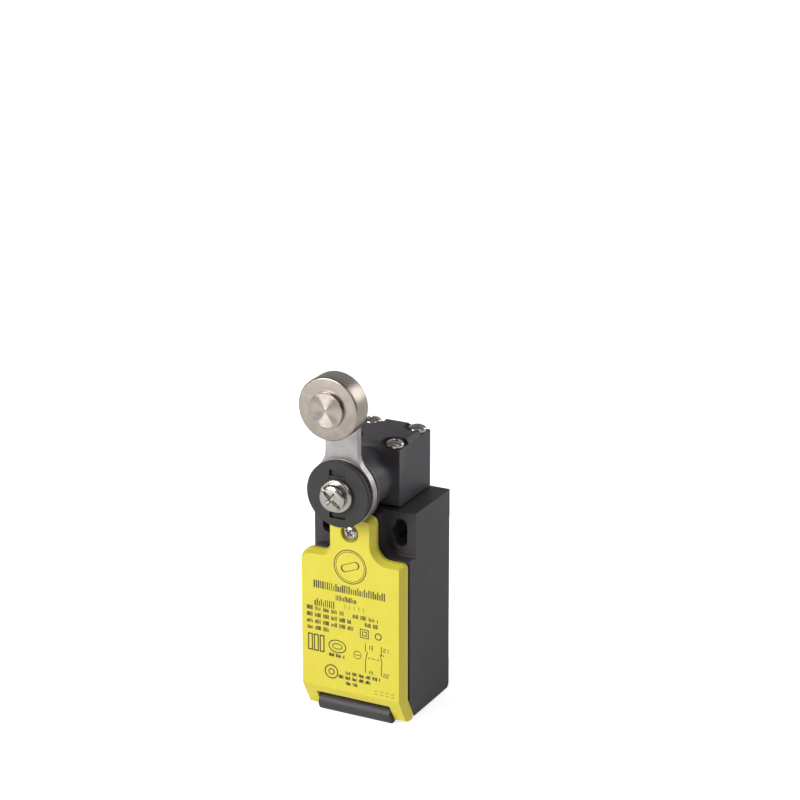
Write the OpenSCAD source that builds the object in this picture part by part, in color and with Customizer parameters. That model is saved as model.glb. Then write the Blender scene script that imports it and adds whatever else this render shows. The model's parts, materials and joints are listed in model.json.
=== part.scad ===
// Roller lever limit switch: a plastic body with two fixing slots and a cable
// entry, a hinged cover, a head with a turning shaft, and a two-pole contact block.
// Millimetres, +Z up, front towards -Y. The origin lies on the rear face, midway
// between the two fixing holes.

/* [Body] */
// Width over the cover
cover_w = 30; // [30:0.5:38]
// Depth of the body, from its rear face to the rim of the cover
body_d = 25; // [24:0.2:32]
// Distance from the fixing holes down to the underside of the body
body_drop = 50; // [49.5:0.5:64]
// Distance from the fixing holes up to the top of the body
body_rise = 5.7; // [5.5:0.1:7]
// Distance between the two fixing holes
fixing_pitch = 20; // [19.6:0.2:22]
// Diameter of the round part of a fixing hole
fixing_d = 4.4; // [4.2:0.1:4.8]
// Height of the slotted part of a fixing hole
fixing_slot_h = 7.5; // [6:0.25:8.5]
// Setback of the fixing ears behind the rim of the cover
ear_setback = 5.2; // [4.5:0.1:7]
// Diameter of the cable entry, as the thread's inner diameter
entry_d = 14.5; // [12:0.5:15.5]

/* [Cover] */
// Depth of the cover in front of its rim
cover_d = 3; // [2.8:0.1:4.5]
// Width of the cover's tab
tab_w = 13.2; // [12.6:0.2:14]
// Drop from the top of the body to the shoulders of the cover
shoulder_drop = 11.35; // [11:0.05:12]
// Height of the lower end of the cover that slopes back
slope_h = 6.7; // [6.2:0.1:8]
// Width of the sloped bevel round the front face
bevel = 1; // [0.6:0.1:1.3]
// Diameter of the hinge barrel
barrel_d = 4.75; // [4.5:0.05:5.4]
// Length of the hinge barrel
barrel_l = 20.6; // [18:0.2:22]
// Diameter of the hinge pin
hinge_pin_d = 1.2; // [1:0.1:1.4]

/* [Head] */
// Width of the square head
head_w = 18; // [17.6:0.2:20]
// Depth of the head
head_d = 17.3; // [17:0.1:18]
// Height of the head
head_h = 16.5; // [16:0.1:20]
// Height of the shaft above the top of the body
shaft_rise = 7.83; // [7.6:0.01:8]
// Diameter of the shaft
shaft_d = 8; // [6.6:0.1:8.2]
// Diameter of the turret round the shaft
turret_d = 15; // [13.5:0.1:16]
// Distance from the rim of the cover forward to the front of the turret
turret_reach = 4.5; // [4:0.1:7]

/* [Lever] */
// Distance between the shaft and the axle of the roller
lever_l = 24.14; // [23:0.1:40]
// Width of the lever's straight part
lever_w = 9; // [8:0.1:12]
// Thickness of the lever
lever_t = 2; // [1.6:0.1:2.6]
// Diameter of the lever's hub and of the disc on it
hub_d = 18; // [17:0.1:22]
// Diameter of the washer under the lever's screw
washer_d = 9; // [8.4:0.1:10.5]

/* [Roller] */
// Diameter of the roller
roller_d = 16.5; // [13.6:0.1:22]
// Width of the roller
roller_w = 6.1; // [4.4:0.1:8]
// Diameter of the roller's axle
axle_d = 4; // [3.4:0.1:4.8]

/* [Contacts] */
// Travel of the push rod and the contact carrier
stroke = 1.5; // [1.2:0.1:1.7]
// Distance of the terminals from the middle of the block
terminal_x = 8; // [8:0.1:8.4]

/* [Hidden] */
$fn = 64;
slip = 0.05;                       // radial clearance of a running fit
gap = 0.3;                         // gap between pieces that only meet
wall = 2.2;
tiny = 0.02;
half_w = cover_w / 2;
flank_x = half_w - 0.5;            // the body is a little narrower than its cover
lip_x = flank_x - 0.5;             // narrower lip in front, which makes a shadow line
rim_y = -body_d;                   // rear edge of the cover
face_y = rim_y - cover_d;          // front face of the cover
bevel_y = rim_y - 1.1;             // where the bevel starts
lip_y = rim_y + 0.8;               // front of the body, behind its gasket
flank_y = rim_y + 2;               // front of the full-width body
ear_y = rim_y + ear_setback;
top_z = body_rise;
base_z = -body_drop;
shoulder_z = top_z - shoulder_drop;
kink_z = base_z + slope_h;         // where the cover starts to slope back
slope_a = 29.7;                    // slope of the lower end from the vertical
relief = 0.5;                      // depth of the rear face between its pads
rear_wall = 3.4;
cavity_x = flank_x - wall;
cavity_top = top_z - 13.6;
entry_l = 8.6;                     // length of the threaded cable entry
cavity_base = base_z + entry_l;
entry_y = -entry_d / 2 - 3.95;
tab_x = tab_w / 2;
left_shoulder_r = 3.8;
right_shoulder_r = 1.2;
left_fillet_r = 2;
right_fillet_r = 4.2;
barrel_y = rim_y + 1;
barrel_z = base_z + 1.05;
hinge_y = barrel_y + 0.5;
hinge_z = barrel_z - 0.05;
ear_end_r = 1.3;                   // round end of the cover's hinge ears
notch_x = barrel_l / 2 + gap;
cover_screw_z = top_z - 4.8;
cover_screw_r = 1.25;

head_x = head_w / 2;
head_back = -0.7;
head_front = head_back - head_d + 0.05;
head_y = (head_back + head_front) / 2;
head_gasket_t = 0.4;
head_z = top_z + head_gasket_t;
head_top = head_z + head_h;
corner_r = 3.5;                      // recess round each corner screw
corner_floor = head_top - 1.2;
screw_inset = 2.55;
screw_x = head_x - screw_inset;
screw_dy = (head_back - head_front) / 2 - screw_inset + 0.15;
shaft_z = top_z + shaft_rise;
shaft_r = shaft_d / 2;
turret_y = rim_y - turret_reach;
flange_t = 1;
cam_r = 5.6;
cam_flat = cam_r - stroke;         // distance from the axis to the cam's flat
cam_w = 7.7;
cam_y = head_y - cam_w / 2;
cam_bore_r = shaft_r - 1;
journal_r = shaft_r - 1.5;         // rear end of the shaft
bush_r = shaft_r + 0.75;
seal_r = shaft_r + 1.5;
collar_r = shaft_r + 1.2;
pocket_x = 7.2;
pocket_front = cam_y - 0.65;
pocket_back = cam_y + cam_w + 0.6;

plate_back = turret_y - 0.5;
plate_front = plate_back - lever_t;
disc_back = plate_front - 0.6;
disc_front = plate_front - 2.3;
key_w = 4.2;
key_l = 12.6;
key_eye_r = 3;                     // round middle of the key, round its screw hole
key_back = disc_front + 1.5;
key_sunk = 0.7;                    // how far the key's arms lie below the disc's face
key_mid = washer_d + 0.7;          // length of its middle, which is level with the disc
washer_t = 1.4;
washer_front = disc_front - washer_t;
lever_screw_r = 2;
hub_r = hub_d / 2;

roller_z = shaft_z + lever_l;
roller_r = roller_d / 2;
spacer_t = 0.8;
roller_back = plate_front - spacer_t - 0.12;
roller_front = roller_back - roller_w;
axle_r = axle_d / 2;
axle_head_r = axle_r + 2.6;
axle_head_t = 0.97;
roller_bush_r = axle_r + 1;

rod_r = 1.4;
rod_top = shaft_z - cam_r - 0.15;
button_r = 2.9;
button_t = 1.4;
spring_floor = top_z - 5.1;
rod_base = cavity_top - 1.1;

block_x = terminal_x + 3.2;
block_top = cavity_top - 1.1;
block_h = 27.8;
block_front = head_y - 6.3;
plate_y = -rear_wall - 1.6;        // front of the block's back plate
carrier_x = 3;
carrier_front = head_y - 3;
carrier_back = head_y + 3;
carrier_top = block_top - 1.8;
carrier_h = 23.4;
channel_play = 0.1;
bar_t = 0.6;                       // thickness of a contact bridge
bar_x = 6;
tip_x = 4.9;
tip_r = 1;
tip_h = 0.4;
strip_t = 0.8;                     // thickness of a fixed contact
nc_bar = carrier_top - 5.1;        // underside of the upper bridge
no_bar = carrier_top - 19.5;       // underside of the lower bridge
nc_strip = nc_bar + bar_t + 2 * tip_h + gap;
no_strip = no_bar - 2 * tip_h - stroke - gap - strip_t;
nc_screw_z = nc_strip + strip_t + 1.8;
no_screw_z = no_strip + strip_t + 1.8;
terminal_screw_r = 1.45;
block_screw_z = block_top - 13.5;
window_y = 2.2;                    // half width of the windows in the carrier

// ---- shapes used by several pieces ----

module box(x, y, z) {
    translate([x[0], y[0], z[0]]) cube([x[1] - x[0], y[1] - y[0], z[1] - z[0]]);
}

module rod_x(r, x, y, z) {
    translate([x[0], y, z]) rotate([0, 90, 0]) cylinder(r = r, h = x[1] - x[0]);
}

module rod_y(r, y, x = 0, z = 0) {
    translate([x, y[0], z]) rotate([-90, 0, 0]) cylinder(r = r, h = y[1] - y[0]);
}

module rod_z(r, z, x = 0, y = 0) {
    translate([x, y, z[0]]) cylinder(r = r, h = z[1] - z[0]);
}

// round piece along Y whose radius changes from r[0] at y[0] to r[1] at y[1]
module cone_y(r, y, x = 0, z = 0) {
    translate([x, y[0], z]) rotate([-90, 0, 0])
        cylinder(r1 = r[0], r2 = r[1], h = y[1] - y[0]);
}

// a shape drawn in X and Z, given a thickness along Y
module slab_y(y) {
    translate([0, y[1], 0]) rotate([90, 0, 0]) linear_extrude(y[1] - y[0]) children();
}

// a shape drawn in Y and Z, given a length along X
module slab_x(x) {
    translate([x[0], 0, 0]) rotate([90, 0, 90]) linear_extrude(x[1] - x[0]) children();
}

// the part of a corner outside its arc: taken off outside, added on inside.
// p is the corner, and d points from it towards the centre of the arc.
module corner_piece(p, r, d) {
    translate(p) difference() {
        translate([d[0] > 0 ? -tiny : -r, d[1] > 0 ? -tiny : -r]) square(r + tiny);
        translate([d[0] * r, d[1] * r]) circle(r);
    }
}

module rounded_rect(x, z, r) {
    difference() {
        translate([x[0], z[0]]) square([x[1] - x[0], z[1] - z[0]]);
        for (i = [0, 1]) for (k = [0, 1])
            corner_piece([x[i], z[k]], r, [1 - 2 * i, 1 - 2 * k]);
    }
}

// outline of the cover seen from the front, drawn g inside its rim, down to z = low
module cover_outline(g, low) {
    w = half_w - g;
    t = tab_x - g;
    s = shoulder_z - g;
    difference() {
        translate([-w, low]) square([2 * w, s - low]);
        corner_piece([-w, s], left_shoulder_r - g, [1, -1]);
        corner_piece([w, s], max(right_shoulder_r - g, 0.2), [-1, -1]);
    }
    difference() {
        translate([-t, s - 1]) square([2 * t, top_z - g - s + 1]);
        for (k = [-1, 1]) corner_piece([k * t, top_z - g], 2 - g, [-k, -1]);
    }
    corner_piece([t, s], right_fillet_r + g, [1, 1]);
    corner_piece([-t, s], left_fillet_r + g, [-1, 1]);
}

// coil spring along Z: a square wire r from the axis
module coil(r, wire, z, turns, x = 0, y = 0) {
    pitch = (z[1] - z[0] - wire) / turns;
    span = 360 * wire / pitch;
    steps = 4;
    translate([x, y, z[0]])
        linear_extrude(z[1] - z[0], twist = -360 * (z[1] - z[0]) / pitch,
                       slices = ceil(16 * turns), $fn = 8)
            polygon(concat(
                [for (i = [0 : steps]) (r + wire / 2) * [cos(span * i / steps), sin(span * i / steps)]],
                [for (i = [steps : -1 : 0]) (r - wire / 2) * [cos(span * i / steps), sin(span * i / steps)]]));
}

// pan head on the -Y side of y, with a cross recess and a slot
module pan_head_y(r, t, y, x = 0, z = 0, turn = 0) {
    difference() {
        union() {
            rod_y(r, [y - t * 0.55, y], x, z);
            cone_y([r * 0.72, r], [y - t, y - t * 0.55], x, z);
        }
        translate([x, y, z]) rotate([0, turn, 0]) {
            for (a = [0, 90]) rotate([0, a, 0])
                box([-r * 0.55, r * 0.55], [-t - tiny, -t * 0.4], [-r * 0.13, r * 0.13]);
            box([-r - tiny, r + tiny], [-t - tiny, -t * 0.72], [-r * 0.13, r * 0.13]);
        }
    }
}

// pan head on top of z, with a cross recess
module pan_head_z(r, t, z, x, y, turn = 0) {
    translate([x, y, z]) rotate([0, 0, turn]) difference() {
        union() {
            cylinder(r = r, h = t * 0.55);
            translate([0, 0, t * 0.55]) cylinder(r1 = r, r2 = r * 0.72, h = t * 0.45);
        }
        for (a = [0, 90]) rotate([0, 0, a])
            box([-r * 0.55, r * 0.55], [-r * 0.13, r * 0.13], [t * 0.35, t + tiny]);
    }
}

module at_head_corners() {
    for (i = [-1, 1]) for (k = [-1, 1]) translate([i * screw_x, head_y + k * screw_dy, 0]) children();
}

module at_terminals() {
    for (i = [-1, 1]) for (z = [nc_screw_z, no_screw_z]) translate([i * terminal_x, 0, z]) children();
}

// ---- body ----

// side outline of the body, which slopes back at its lower front
function front_slope(y, z0, z1) = y + (z0 - z1) * tan(slope_a);

module body_side() {
    chamfer = 1.2;
    polygon([[0, top_z], [lip_y, top_z], [lip_y, kink_z + 0.2],
             [front_slope(lip_y, kink_z + 0.2, base_z), base_z],
             [-chamfer, base_z], [0, base_z + chamfer]]);
}

module fixing_hole(x) {
    slot_w = fixing_d * 0.8;
    slot_x = abs(x) + fixing_d / 2 - slot_w / 2 - 0.1;
    s = sign(x);
    rod_y(fixing_d / 2, [ear_y - 1, 1], x, 0);
    for (k = [-1, 1]) rod_y(slot_w / 2, [ear_y - 1, 1], s * slot_x, k * (fixing_slot_h - slot_w) / 2);
    box([s * slot_x - slot_w / 2, s * slot_x + slot_w / 2], [ear_y - 1, 1],
        [-(fixing_slot_h - slot_w) / 2, (fixing_slot_h - slot_w) / 2]);
}

module housing_solid() {
    intersection() {
        slab_x([-flank_x, flank_x]) body_side();
        union() {
            // behind the ears the body has its full outline
            slab_y([ear_y, 1]) translate([-flank_x, base_z - 1])
                square([2 * flank_x, top_z - base_z + 2]);
            // in front of them it follows the cover
            slab_y([flank_y, ear_y + tiny]) cover_outline(0.5, base_z - 1);
            slab_y([lip_y - 1, flank_y + tiny]) cover_outline(1, base_z - 1);
        }
        linear_extrude(200, center = true)
            rounded_rect([-flank_x, flank_x], [-200, 0], 0.5);
    }
    // hinge barrel and the web that carries it
    rod_x(barrel_d / 2, [-barrel_l / 2, barrel_l / 2], barrel_y, barrel_z);
    box([-barrel_l / 2, barrel_l / 2], [barrel_y, front_slope(lip_y, kink_z, base_z) + 1],
        [base_z, base_z + 2.6]);
}

module housing() color([0.09, 0.09, 0.1]) {
    difference() {
        housing_solid();
        // rear relief between the two pads
        box([-half_w, half_w], [-relief, 1], [base_z + 8.3, -1.8 * top_z / 5.7]);
        box([-cavity_x, cavity_x], [lip_y - 5, -rear_wall], [cavity_base, cavity_top]);
        rod_z(entry_d / 2, [base_z - 1, cavity_base + 1], 0, entry_y);
        for (k = [-1, 1]) fixing_hole(k * fixing_pitch / 2);
        // push rod: spring chamber, guide and the seat of its seal
        rod_z(3.2, [spring_floor, top_z + 1], 0, head_y);
        rod_z(rod_r + slip, [cavity_top - 1, spring_floor + 1], 0, head_y);
        rod_z(3, [cavity_top - 1, cavity_top + 1], 0, head_y);
        at_head_corners() rod_z(1.3, [top_z - 4.4, top_z + 1]);
        rod_y(cover_screw_r + 0.15, [lip_y - 1, lip_y + 4], 0, cover_screw_z);
        for (k = [-1, 1]) rod_y(1.25, [-rear_wall - 1, -1.3], k * (block_x - 2.2), block_screw_z);
        // room for the round ends of the cover's ears, and the bore of the hinge
        for (k = [-1, 1]) rod_x(ear_end_r + gap, k > 0 ? [notch_x - gap + tiny, half_w] :
            [-half_w, -notch_x + gap - tiny], hinge_y, hinge_z);
        rod_x(hinge_pin_d / 2 + slip, [-half_w, half_w], hinge_y, hinge_z);
    }
}

module cover_gasket() color([0.12, 0.12, 0.12]) {
    out_x = lip_x - 0.2;
    top = shoulder_z - 1.2;
    slab_y([lip_y - 0.5, lip_y]) difference() {
        rounded_rect([-out_x, out_x], [kink_z + 0.3, top], 1.8);
        rounded_rect([-cavity_x - 0.1, cavity_x + 0.1], [cavity_base - 0.2, cavity_top + 0.1], 1);
    }
}

// ---- cover ----

module cover_front() {
    // rim, with upright sides
    slab_y([bevel_y, rim_y]) cover_outline(0, kink_z);
    // bevelled front of the wide part
    difference() {
        intersection() {
            linear_extrude(400, center = true)
                polygon([[-half_w, bevel_y + tiny], [half_w, bevel_y + tiny], [half_w, bevel_y],
                         [half_w - bevel, face_y], [bevel - half_w, face_y], [-half_w, bevel_y]]);
            slab_x([-half_w, half_w])
                polygon([[bevel_y + tiny, kink_z], [bevel_y + tiny, shoulder_z], [bevel_y, shoulder_z],
                         [face_y, shoulder_z - bevel], [face_y, kink_z]]);
        }
        shoulder_round(-1, left_shoulder_r);
        shoulder_round(1, max(right_shoulder_r, bevel + 0.2));
    }
    // bevelled front of the tab
    intersection() {
        translate([0, 0, shoulder_z - 2]) linear_extrude(top_z - shoulder_z + 2)
            polygon([[-tab_x, bevel_y + tiny], [tab_x, bevel_y + tiny], [tab_x, bevel_y],
                     [tab_x - bevel, face_y], [bevel - tab_x, face_y], [-tab_x, bevel_y]]);
        slab_x([-tab_x, tab_x])
            polygon([[bevel_y + tiny, shoulder_z - 2], [bevel_y + tiny, top_z], [bevel_y, top_z],
                     [face_y, top_z - bevel], [face_y, shoulder_z - 2]]);
        union() {
            for (k = [-1, 1]) cone_y([2 - bevel, 2], [face_y, bevel_y + tiny], k * (tab_x - 2), top_z - 2);
            box([-tab_x, tab_x], [face_y, rim_y], [shoulder_z - 2, top_z - 2]);
            box([2 - tab_x, tab_x - 2], [face_y, rim_y], [shoulder_z - 2, top_z]);
        }
    }
    inner_fillet(1, right_fillet_r);
    inner_fillet(-1, left_fillet_r);
}

module shoulder_round(side, r) {
    difference() {
        box(side > 0 ? [half_w - r, half_w + 1] : [-half_w - 1, r - half_w],
            [face_y - 1, bevel_y + 2 * tiny], [shoulder_z - r, shoulder_z + 1]);
        rod_y(r, [bevel_y, bevel_y + 1], side * (half_w - r), shoulder_z - r);
        cone_y([r - bevel, r], [face_y, bevel_y], side * (half_w - r), shoulder_z - r);
        cone_y([r - bevel, r - bevel], [face_y - 1, face_y], side * (half_w - r), shoulder_z - r);
    }
}

module inner_fillet(side, r) {
    x = side > 0 ? [tab_x - bevel, tab_x + r] : [-tab_x - r, bevel - tab_x];
    difference() {
        box(x, [face_y, bevel_y + tiny], [shoulder_z - bevel, shoulder_z + r]);
        cone_y([r + bevel, r], [face_y, bevel_y], side * (tab_x + r), shoulder_z + r);
        rod_y(r, [bevel_y, bevel_y + 1], side * (tab_x + r), shoulder_z + r);
        rod_y(r + bevel, [face_y - 1, face_y], side * (tab_x + r), shoulder_z + r);
    }
}

// lower end of the cover, sloping back, which ends in the hinge ears
module cover_slope() {
    c = cos(slope_a);
    intersection() {
        translate([0, face_y, kink_z]) rotate([slope_a, 0, 0])
            translate([0, 0, -12]) linear_extrude(15)
                polygon([[bevel - half_w, 0], [half_w - bevel, 0],
                         [half_w, (face_y - bevel_y) * -c], [half_w, cover_d * c],
                         [-half_w, cover_d * c], [-half_w, (face_y - bevel_y) * -c]]);
        union() {
            box([-half_w, half_w], [face_y - 1, 0], [hinge_z, kink_z]);
            rod_x(ear_end_r, [-half_w, half_w], hinge_y, hinge_z);
        }
    }
}

module cover() color([0.98, 0.84, 0.16]) {
    inner_y = face_y + 1.5;
    difference() {
        union() {
            cover_front();
            cover_slope();
        }
        // hollow behind the front face
        box([2.1 - half_w, half_w - 2.1], [inner_y, rim_y + 1], [kink_z + 0.7, shoulder_z - 1.6]);
        // notch for the hinge barrel
        box([-notch_x, notch_x], [face_y - 1, 0], [base_z - 5, base_z + 4.4]);
        rod_y(2.5, [face_y - 1, face_y + 1.4], 0, cover_screw_z);
        rod_y(cover_screw_r + 0.03, [face_y, rim_y + 1], 0, cover_screw_z);
        rod_x(hinge_pin_d / 2 + tiny, [1.2 - half_w, half_w - 1.2], hinge_y, hinge_z);
    }
}

module cover_screw() color([0.8, 0.8, 0.78]) {
    floor_y = face_y + 1.4;
    pan_head_y(2.05, 1.6, floor_y, 0, cover_screw_z, 30);
    rod_y(cover_screw_r, [floor_y - tiny, rim_y + 3.2], 0, cover_screw_z);
}

module hinge_pin() color([0.7, 0.7, 0.72]) {
    rod_x(hinge_pin_d / 2, [1.4 - half_w, half_w - 1.4], hinge_y, hinge_z);
}

// ---- head ----

module head_gasket() color([0.12, 0.12, 0.12]) {
    difference() {
        translate([0, 0, top_z]) linear_extrude(head_gasket_t)
            rounded_rect([0.6 - head_x, head_x - 0.6], [head_front + 0.6, head_back - 0.6], 1);
        rod_z(3.6, [top_z - 1, head_z + 1], 0, head_y);
        at_head_corners() rod_z(1.5, [top_z - 1, head_z + 1]);
    }
}

module head_shell() {
    c = 1;
    intersection() {
        slab_x([-head_x, head_x])
            polygon([[head_front, head_z], [head_back, head_z], [head_back, head_top - c],
                     [head_back - c, head_top], [head_front + c, head_top], [head_front, head_top - c]]);
        slab_y([head_front, head_back])
            polygon([[-head_x, head_z], [head_x, head_z], [head_x, head_top - c],
                     [head_x - c, head_top], [c - head_x, head_top], [-head_x, head_top - c]]);
    }
}

module head_housing() color([0.1, 0.1, 0.11]) {
    difference() {
        union() {
            head_shell();
            rod_y(turret_d / 2, [turret_y + flange_t - tiny, head_front + tiny], 0, shaft_z);
            rod_y(hub_r, [turret_y, turret_y + flange_t], 0, shaft_z);
        }
        at_head_corners() {
            rod_z(corner_r, [corner_floor, head_top + 1]);
            rod_z(1.4, [top_z, head_top]);
        }
        box([-pocket_x, pocket_x], [pocket_front, pocket_back], [top_z, head_top - 2]);
        // bore of the shaft, from the front: collar recess, seal groove, bush, journal
        rod_y(collar_r + gap, [turret_y - 1, turret_y + 0.7], 0, shaft_z);
        rod_y(shaft_r + 0.4, [turret_y, pocket_front + 1], 0, shaft_z);
        rod_y(seal_r, [turret_y + 1.6, turret_y + 3.3], 0, shaft_z);
        rod_y(bush_r + tiny, [turret_y + 3.7, pocket_front + 1], 0, shaft_z);
        rod_y(journal_r + slip, [pocket_back - 1, head_back - 1.2], 0, shaft_z);
    }
}

module head_screws() color([0.8, 0.8, 0.78]) {
    for (i = [-1, 1]) for (k = [-1, 1]) {
        x = i * screw_x;
        y = head_y + k * screw_dy;
        pan_head_z(2.35, 1.65, corner_floor, x, y, 20 * i + 50 * k);
        rod_z(1.25, [top_z - 4.2, corner_floor + tiny], x, y);
    }
}

module shaft_bush() color([0.72, 0.53, 0.3]) {
    difference() {
        rod_y(bush_r, [turret_y + 3.7, pocket_front], 0, shaft_z);
        rod_y(shaft_r + slip, [turret_y, 0], 0, shaft_z);
    }
}

module shaft_seal() color([0.12, 0.12, 0.12]) {
    difference() {
        rod_y(seal_r - tiny, [turret_y + 1.65, turret_y + 3.25], 0, shaft_z);
        rod_y(shaft_r + slip, [turret_y, 0], 0, shaft_z);
    }
}

module shaft() color([0.72, 0.72, 0.74]) {
    difference() {
        union() {
            rod_y(shaft_r, [disc_front + 0.8, cam_y], 0, shaft_z);
            rod_y(collar_r, [plate_back, turret_y + 0.4], 0, shaft_z);
            rod_y(cam_bore_r, [cam_y - tiny, cam_y + cam_w], 0, shaft_z);
            rod_y(journal_r, [cam_y + cam_w - tiny, head_back - 1.5], 0, shaft_z);
        }
        // seat of the key, thread for the screw, hole for the cam's pin
        box([-key_w / 2 - tiny, key_w / 2 + tiny], [disc_front, key_back + tiny],
            [shaft_z - shaft_r - 1, shaft_z + shaft_r + 1]);
        rod_y(key_eye_r + tiny, [disc_front, key_back + tiny], 0, shaft_z);
        rod_y(lever_screw_r, [disc_front, disc_front + 12], 0, shaft_z);
        rod_x(0.8 + tiny, [-cam_r, cam_r], head_y, shaft_z);
    }
}

module cam() color([0.62, 0.62, 0.64]) {
    difference() {
        rod_y(cam_r, [cam_y, cam_y + cam_w], 0, shaft_z);
        rod_y(cam_bore_r + tiny, [cam_y - 1, 0], 0, shaft_z);
        box([-cam_r, cam_r], [cam_y - 1, 0], [shaft_z - cam_r - 1, shaft_z - cam_flat]);
        rod_x(0.8 + tiny, [-cam_r - 1, cam_r + 1], head_y, shaft_z);
    }
}

module cam_pin() color([0.7, 0.7, 0.72]) {
    rod_x(0.8, [0.4 - cam_r, cam_r - 0.4], head_y, shaft_z);
}

// ---- lever ----

module lever_arm() color([0.78, 0.77, 0.76]) {
    hw = lever_w / 2;
    fr = 6;                        // radius where the arm widens into its hub
    rise = sqrt(pow(hub_r + fr, 2) - pow(hw + fr, 2));
    meet = hub_r / (hub_r + fr);
    neck = [(hw + fr) * meet - 0.05, rise * meet];
    difference() {
        slab_y([plate_front, plate_back]) translate([0, shaft_z]) {
            circle(hub_r);
            translate([-hw, 0]) square([lever_w, lever_l]);
            translate([0, lever_l]) circle(hw);
            // neck between the hub and the arm, hollowed by a fillet on each side
            difference() {
                polygon([[-neck[0], neck[1]], [neck[0], neck[1]],
                         [hw + fr - 0.05, rise], [0.05 - hw - fr, rise]]);
                for (k = [-1, 1]) translate([k * (hw + fr), rise]) circle(fr);
            }
        }
        rod_y(shaft_r + tiny, [plate_front - 1, plate_back + 1], 0, shaft_z);
        rod_y(axle_r + tiny, [plate_front - 1, plate_back + 1], 0, roller_z);
    }
}

module serrated_ring() color([0.6, 0.6, 0.61]) {
    teeth = 24;
    difference() {
        rod_y(hub_r - 0.3, [disc_back + tiny, plate_front - tiny], 0, shaft_z);
        rod_y(shaft_r + tiny, [disc_back - 1, plate_front + 1], 0, shaft_z);
        for (i = [0 : teeth - 1]) translate([0, 0, shaft_z]) rotate([0, i * 360 / teeth, 0])
            box([hub_r - 0.9, hub_r], [disc_back - 1, disc_back + 0.25], [-0.25, 0.25]);
    }
}

module index_disc() color([0.11, 0.11, 0.12]) {
    difference() {
        union() {
            rod_y(hub_r - 0.2, [disc_front + 0.3, disc_front + 1], 0, shaft_z);
            cone_y([hub_r - 0.45, hub_r - 0.2], [disc_front, disc_front + 0.3], 0, shaft_z);
            rod_y(hub_r - 0.7, [disc_front + 1 - tiny, disc_back], 0, shaft_z);
        }
        rod_y(shaft_r + tiny, [disc_front + 0.75, disc_back + 1], 0, shaft_z);
        rod_y(2.2, [disc_front - 1, disc_back], 0, shaft_z);
        box([-key_w / 2 - 0.15, key_w / 2 + 0.15], [disc_front - 1, key_back],
            [shaft_z - key_l / 2 - 0.15, shaft_z + key_l / 2 + 0.15]);
        rod_y(key_eye_r + 0.15, [disc_front - 1, key_back], 0, shaft_z);
    }
}

module index_key() color([0.14, 0.14, 0.15]) {
    difference() {
        union() {
            box([-key_w / 2, key_w / 2], [disc_front + key_sunk, key_back],
                [shaft_z - key_l / 2, shaft_z + key_l / 2]);
            box([-key_w / 2, key_w / 2], [disc_front, key_back],
                [shaft_z - key_mid / 2, shaft_z + key_mid / 2]);
            rod_y(key_eye_r, [disc_front, key_back], 0, shaft_z);
        }
        rod_y(lever_screw_r + 0.15, [disc_front - 1, disc_back], 0, shaft_z);
    }
}

module lever_washer() color([0.85, 0.85, 0.83]) {
    c = 0.25;
    difference() {
        union() {
            rod_y(washer_d / 2, [washer_front + c, disc_front], 0, shaft_z);
            cone_y([washer_d / 2 - c, washer_d / 2], [washer_front, washer_front + c], 0, shaft_z);
        }
        rod_y(lever_screw_r + 0.15, [washer_front - 1, disc_front + 1], 0, shaft_z);
    }
}

module lever_screw() color([0.82, 0.82, 0.8]) {
    pan_head_y(3.5, 2.2, washer_front, 0, shaft_z, 40);
    rod_y(lever_screw_r - tiny, [washer_front - tiny, disc_front + 11.5], 0, shaft_z);
}

// ---- roller ----

module roller() color([0.68, 0.63, 0.58]) {
    c = 0.45;
    difference() {
        union() {
            rod_y(roller_r, [roller_front + c, roller_back - c], 0, roller_z);
            cone_y([roller_r - c, roller_r], [roller_front, roller_front + c], 0, roller_z);
            cone_y([roller_r, roller_r - c], [roller_back - c, roller_back], 0, roller_z);
        }
        rod_y(roller_bush_r + tiny, [roller_front - 1, roller_back + 1], 0, roller_z);
    }
}

module roller_bush() color([0.72, 0.53, 0.3]) {
    difference() {
        rod_y(roller_bush_r, [roller_front + 0.05, roller_back - 0.05], 0, roller_z);
        rod_y(axle_r + slip, [roller_front - 1, roller_back + 1], 0, roller_z);
    }
}

module roller_axle() color([0.7, 0.67, 0.63]) {
    head_back_y = roller_front - 0.12;
    rod_y(axle_head_r, [head_back_y - axle_head_t + 0.2, head_back_y], 0, roller_z);
    cone_y([axle_head_r - 0.3, axle_head_r], [head_back_y - axle_head_t, head_back_y - axle_head_t + 0.2],
           0, roller_z);
    rod_y(axle_r, [head_back_y - tiny, plate_back + tiny], 0, roller_z);
    rod_y(axle_r + 0.9, [plate_back, plate_back + 0.8], 0, roller_z);
}

module roller_spacer() color([0.7, 0.7, 0.7]) {
    difference() {
        rod_y(axle_r + 1.6, [plate_front - spacer_t, plate_front], 0, roller_z);
        rod_y(axle_r + tiny, [roller_back, plate_back], 0, roller_z);
    }
}

// ---- push rod ----

module pushrod() color([0.86, 0.84, 0.78]) {
    rod_z(button_r, [rod_top - button_t, rod_top - 0.4], 0, head_y);
    translate([0, head_y, rod_top - 0.4]) cylinder(r1 = button_r, r2 = button_r - 0.5, h = 0.4);
    rod_z(rod_r, [rod_base, rod_top - button_t + tiny], 0, head_y);
}

module pushrod_spring() color([0.75, 0.75, 0.77]) {
    coil(2.15, 0.5, [spring_floor + tiny, rod_top - button_t - tiny], 4, 0, head_y);
}

module pushrod_seal() color([0.12, 0.12, 0.12]) {
    difference() {
        rod_z(2.95, [cavity_top, cavity_top + 0.95], 0, head_y);
        rod_z(rod_r + slip, [cavity_top - 1, cavity_top + 2], 0, head_y);
    }
}

// ---- contact block ----

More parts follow.
